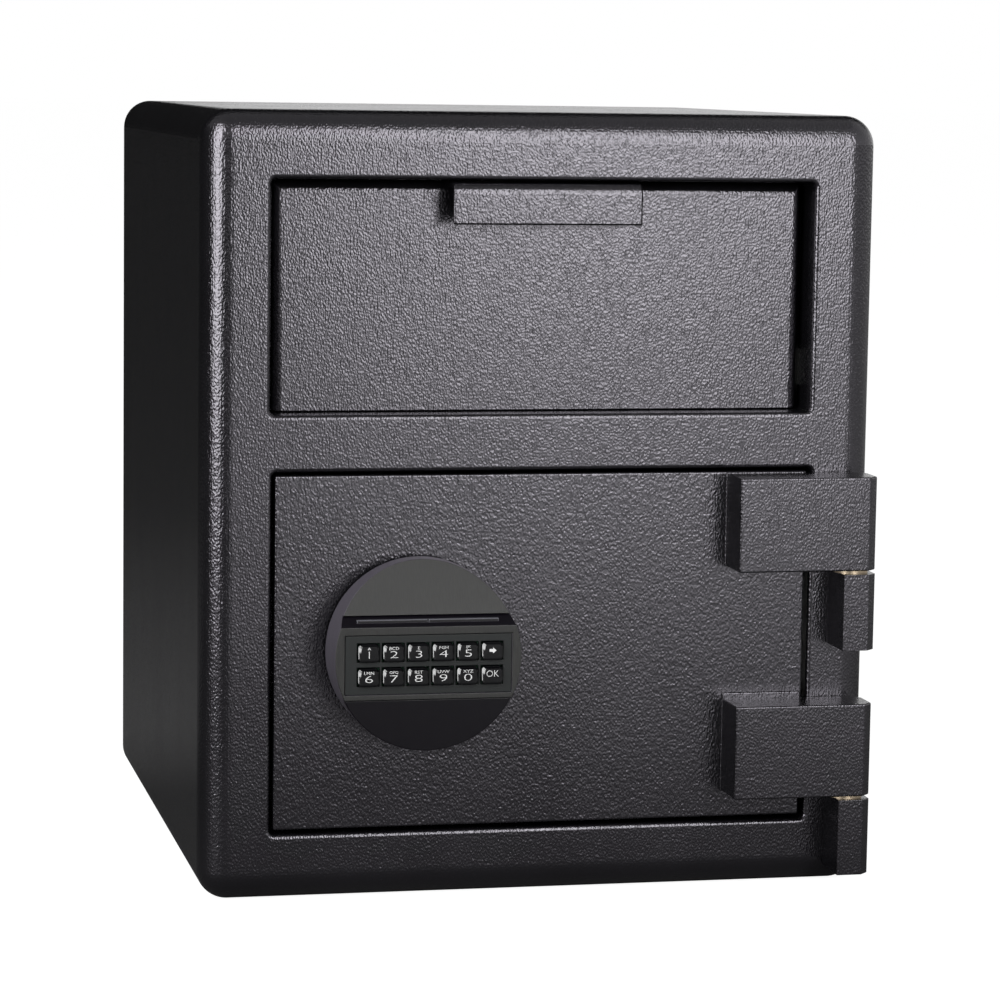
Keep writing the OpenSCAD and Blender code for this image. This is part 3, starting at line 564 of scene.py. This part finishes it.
class SAFE_OT_keypad(bpy.types.Operator):
    """Make the keypad's shell, cover and light bar"""

    bl_idname = "safe.keypad"
    bl_label = "Keypad"

    def execute(self, context):
        s = keypad_settings()
        shell = shared("shell_plastic", shell_plastic)
        dark = shared("dark_plastic", lambda: fine_plastic("dark_plastic", s.dark_color, 0.34))
        plate = shared("plate_plastic", lambda: fine_plastic("plate_plastic", s.plate_color, 0.5))
        bm = softened("keypad_housing", 0.4 * MM, 3, None, False)
        low, high = (Vector(corner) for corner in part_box("keypad_housing"))
        axis_z = (low.z + high.z) / 2
        # The step over the keys is dark, and the drum's wall is smooth
        for face in bm.faces:
            over = (face.calc_center_median().z - axis_z) / MM
            if STEP_LOW < over < STEP_HIGH and face.normal.z > 0.3 and face.normal.y < -0.3:
                face.material_index = 1
            elif face.normal.y > -0.6:
                face.material_index = 2
        rim = shared("rim_plastic", lambda: fine_plastic("rim_plastic", s.rim_color, 0.4))
        make_piece("moulded_shell", bm, "dial", [shell, dark, rim], ["keypad_housing"])
        make_piece("cover_of_cells", softened("battery_cover", 0.5 * MM, 3, None, False), "dial",
                   [dark], ["battery_cover"])
        make_piece("eased_key_plate", softened("key_plate", 0.3 * MM, 2), "dial",
                   [plate], ["key_plate"])
        dress(dark, "keypad_base")
        dress(shared("board_lacquer", board_lacquer), "key_board")

        low, high = (Vector(corner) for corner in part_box("light_bar"))
        middle = (low.x + high.x) / 2
        bm = bmesh.new()
        slab(bm, low, (middle - 0.3 * MM, high.y, high.z))
        slab(bm, (middle + 0.3 * MM, low.y, low.z), high)
        slab(bm, (middle - 0.4 * MM, low.y + 0.5 * MM, low.z), (middle + 0.4 * MM, high.y, high.z))
        round_edges(bm, [e for e in bm.edges if max(v.co.y for v in e.verts) < low.y + SAME_PLACE], 0.45 * MM, 3)
        # The front faces take the dark plastic; the rounded rim takes the lighter lens colour, partly the lens's own
        # tone and partly a painted highlight round each half
        for face in bm.faces:
            face.material_index = 1 if face.normal.y < -0.95 else 0
        make_piece("split_light_bar", bm, "dial",
                   [shared("lens_with_painted_highlight", lens_with_painted_highlight), dark], ["light_bar"])
        return {"FINISHED"}


# Node, mark and small letters of each key
KEYS = [
    ("key_1", "1", "A"), ("key_2", "2", "BCD"), ("key_3", "3", "E"), ("key_4", "4", "FGH"),
    ("key_5", "5", "IJK"), ("key_next", "", ""), ("key_6", "6", "LMN"), ("key_7", "7", "OPQ"),
    ("key_8", "8", "RST"), ("key_9", "9", "UVW"), ("key_0", "0", "XYZ"), ("key_ok", "OK", ""),
]
KEY_LEAN = 0.15  # how far a key's flank leans per metre of height


class SAFE_OT_keys(bpy.types.Operator):
    """Make the twelve keys with their marks"""

    bl_idname = "safe.keys"
    bl_label = "Keys"

    def execute(self, context):
        s = keypad_settings()
        black = shared("key_plastic", lambda: key_plastic("key_plastic", 0.3))
        # A copy of the key plastic that reflects more, as a painted highlight on each key's left flank
        painted_highlight_plastic = shared("key_flank_painted_highlight", lambda: key_plastic("key_flank_painted_highlight", 1.0))
        white = shared("key_print", key_print)
        flange = 0.7 * MM
        for node, mark, letters in KEYS:
            low, high = (Vector(corner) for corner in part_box(node))
            bm = bmesh.new()
            shoulder = low.y + s.key_crown + 0.05 * MM
            slab(bm, (low.x + flange, shoulder, low.z + flange), (high.x - flange, high.y, high.z - flange))
            round_edges(bm, [e for e in bm.edges if abs(e.verts[0].co.y - e.verts[1].co.y) > 1e-4],
                        s.key_corner, 5)
            face = min(bm.faces, key=lambda f: f.calc_center_median().y)
            bmesh.ops.inset_region(bm, faces=[face], thickness=s.key_slope)
            middle = Vector(((low.x + high.x) / 2, low.y + 0.01 * MM, (low.z + high.z) / 2))
            # The flank leans up, so that its left side catches the side lamp over its whole height
            for vert in bm.verts:
                if abs(vert.co.y - shoulder) < SAME_PLACE and vert not in face.verts[:]:
                    vert.co.y += KEY_LEAN * (vert.co.z - middle.z)
            for vert in face.verts:
                vert.co.y -= s.key_crown
                if vert.co.x < middle.x:
                    vert.co.x += KEY_LEAN * (vert.co.z - middle.z)
            round_edges(bm, [e for e in sharp_edges(bm) if min(v.co.y for v in e.verts) < shoulder + 0.6 * MM],
                        0.2 * MM, 3)
            bm.normal_update()
            # Faces on the left flank take the more reflective copy: a painted highlight down each key's left side
            for side in bm.faces:
                if side.normal.x < -0.2 and side.normal.y < -0.2:
                    side.material_index = 2
            if node == "key_next":
                add_arrow(bm, middle + Vector((0, 0, 0.4 * MM)), 3.6 * MM)
            elif node == "key_ok":
                add_letters(bm, mark, s.digit_height * 0.92, 0.95, middle + Vector((0, 0, 0.9 * MM)), -0.012)
            else:
                stretch = 1.2 if mark == "1" else 1.9
                add_letters(bm, mark, s.digit_height, stretch, middle - Vector((0, 0, 0.7 * MM)), -0.018)
                add_letters(bm, letters, s.letter_height, 1.2, middle + Vector((0, 0, 2.4 * MM)), 0.0)
            make_piece("cap_" + node, bm, node + "_cap", [black, white, painted_highlight_plastic], [node])
        return {"FINISHED"}


def softbox(name, place, target, size, power):
    """A rectangular lamp that faces a point."""
    data = bpy.data.lights.new(name, "AREA")
    data.shape = "RECTANGLE"
    data.size, data.size_y = size
    data.energy = power
    lamp = bpy.data.objects.new(name, data)
    bpy.context.scene.collection.objects.link(lamp)
    lamp.location = place
    lamp.rotation_mode = "QUATERNION"
    lamp.rotation_quaternion = (Vector(target) - lamp.location).to_track_quat("-Z", "Y")
    return lamp


def studio_world():
    """White behind the object for the camera, and a plain dim room for the light."""
    world = bpy.data.worlds.new("studio")
    world.use_nodes = True
    tree = world.node_tree
    rays = tree.nodes.new("ShaderNodeLightPath")
    place = tree.nodes.new("ShaderNodeTexCoord")
    split = tree.nodes.new("ShaderNodeSeparateXYZ")
    tree.links.new(place.outputs["Generated"], split.inputs[0])
    across, behind, above = (Wire(tree, split.outputs[i]) for i in range(3))
    back = behind.sum_of("GREATER_THAN", behind, 0.5)
    right = across.sum_of("GREATER_THAN", across, 0.12)
    low = above.sum_of("LESS_THAN", above, 0.30)
    left = across.sum_of("LESS_THAN", across, -0.80)
    side = across.sum_of("GREATER_THAN", across, 0.35)
    # Behind the object only a low band on the right is bright: the top mirrors it
    room = (1 - back) * (1 - 0.9 * left) * (1 + 0.8 * side) * (0.45 - 0.20 * above)
    room = room + back * (low * right * 0.95 + 0.01)
    seen = Wire(tree, rays.outputs["Is Camera Ray"])
    strength = seen + (1 - seen) * room
    background = tree.nodes["Background"]
    background.inputs["Color"].default_value = (1.0, 1.0, 1.0, 1.0)
    feed(tree, background.inputs["Strength"], strength)
    return world


class SAFE_OT_stage(bpy.types.Operator):
    """Make the floor, the lamps, the world and the camera"""

    bl_idname = "safe.stage"
    bl_label = "Stage"

    def execute(self, context):
        s = context.scene.safe_stage
        bm = bmesh.new()
        bmesh.ops.create_grid(bm, x_segments=1, y_segments=1, size=40.0)
        mesh = bpy.data.meshes.new("floor")
        bm.to_mesh(mesh)
        bm.free()
        floor = bpy.data.objects.new("floor", mesh)
        context.scene.collection.objects.link(floor)
        made = Finish("floor_with_painted_light", s.painted_floor_light_color, roughness=0.9)
        seen = made.node("LightPath", out="Is Camera Ray")
        glow = made.node("Emission", inputs={"Color": (1.0, 1.0, 1.0), "Strength": 1.29})
        across = made.node("SeparateXYZ", inputs={"Vector": made.place()}, out=0)
        along = made.node("SeparateXYZ", inputs={"Vector": made.place()}, out=1)
        # For all but camera rays the floor's colour holds painted light and shade: dark, with a painted pool of light
        # in front and two behind, which the coat mirrors
        front = made.ramp(across, -0.35, -0.1) * (0.07 + made.ramp(0.8 * across - along, 0.35, 2.2))
        back = made.ramp(along, 0.1, 0.3) * made.ramp(along, 1.4, 0.4)
        corner = made.ramp(across, 0.0, 0.5) * made.ramp(along, 0.25, 0.8)
        made.set("Base Color", made.mix(front + back * 0.10 + corner * 0.55, (0.02, 0.02, 0.02), s.painted_floor_light_color))
        paper = made.node("BsdfDiffuse", inputs={"Color": (0.8, 0.8, 0.8)})
        bright = made.node("MixShader", inputs={0: 0.72, 1: paper, 2: glow})
        floor_look = made.node("MixShader", inputs={0: seen, 1: Wire(made.tree, made.shader.outputs[0]), 2: bright})
        output = made.tree.nodes["Material Output"]
        made.tree.links.new(floor_look.socket, output.inputs["Surface"])
        mesh.materials.append(made.material)

        softbox("front_lamp", (0.53, -2.1, 1.365), (0.0, -0.17, 1.365), (0.56, 2.25), s.front_power)
        softbox("front_skirt", (0.50, -2.1, 0.12), (0.0, -0.17, 0.12), (0.56, 0.2), s.front_power * 0.028)
        softbox("side_lamp", (-1.63, -1.23, 1.24), (-0.17, -0.17, 1.24), (0.95, 2.36), s.side_power)
        fill = softbox("fill_lamp", (-0.4, -2.0, 2.0), (0.0, -0.1, 0.2), (1.4, 1.4), s.fill_power)
        fill.visible_glossy = False

        context.scene.world = studio_world()

        # The camera was fitted to the photograph's straight edges
        data = bpy.data.cameras.new("camera")
        data.lens = s.lens
        data.sensor_width = 36.0
        camera = bpy.data.objects.new("camera", data)
        context.scene.collection.objects.link(camera)
        yaw, pitch, roll = (math.radians(v) for v in CAMERA_ANGLES)
        ahead = Vector((math.sin(yaw) * math.cos(pitch), math.cos(yaw) * math.cos(pitch), -math.sin(pitch)))
        level = Vector((math.cos(yaw), -math.sin(yaw), 0.0))
        down = ahead.cross(level)
        right = level * math.cos(roll) + down * math.sin(roll)
        up = level * math.sin(roll) - down * math.cos(roll)
        turn = Matrix((right, up, -ahead)).transposed()
        camera.matrix_world = Matrix.Translation(CAMERA_PLACE) @ turn.to_4x4()
        context.scene.camera = camera
        context.scene.view_settings.view_transform = "Standard"
        return {"FINISHED"}


PIECES = (
    SAFE_OT_body, SAFE_OT_hinges, SAFE_OT_drawer, SAFE_OT_door, SAFE_OT_keypad, SAFE_OT_keys, SAFE_OT_stage,
)
GROUPS = (
    ("safe_coat", SafeCoatSettings), ("safe_keypad", SafeKeypadSettings), ("safe_stage", SafeStageSettings),
)


class SAFE_PT_panel(bpy.types.Panel):
    """Settings and pieces of the safe"""

    bl_idname = "SAFE_PT_panel"
    bl_label = "Safe"
    bl_space_type = "VIEW_3D"
    bl_region_type = "UI"
    bl_category = "Safe"

    def draw(self, context):
        for name, group in GROUPS:
            box = self.layout.box()
            box.label(text=group.__doc__)
            for key in group.__annotations__:
                box.prop(getattr(context.scene, name), key)
        for piece in PIECES:
            self.layout.operator(piece.bl_idname)


def register():
    for name, group in GROUPS:
        bpy.utils.register_class(group)
        setattr(bpy.types.Scene, name, PointerProperty(type=group))
    for cls in (*PIECES, SAFE_PT_panel):
        bpy.utils.register_class(cls)


def unregister():
    for cls in reversed((*PIECES, SAFE_PT_panel)):
        bpy.utils.unregister_class(cls)
    for name, group in reversed(GROUPS):
        delattr(bpy.types.Scene, name)
        bpy.utils.unregister_class(group)


def main():
    register()
    for piece in PIECES:
        getattr(bpy.ops.safe, piece.bl_idname.split(".")[1])()


if __name__ == "__main__":
    main()
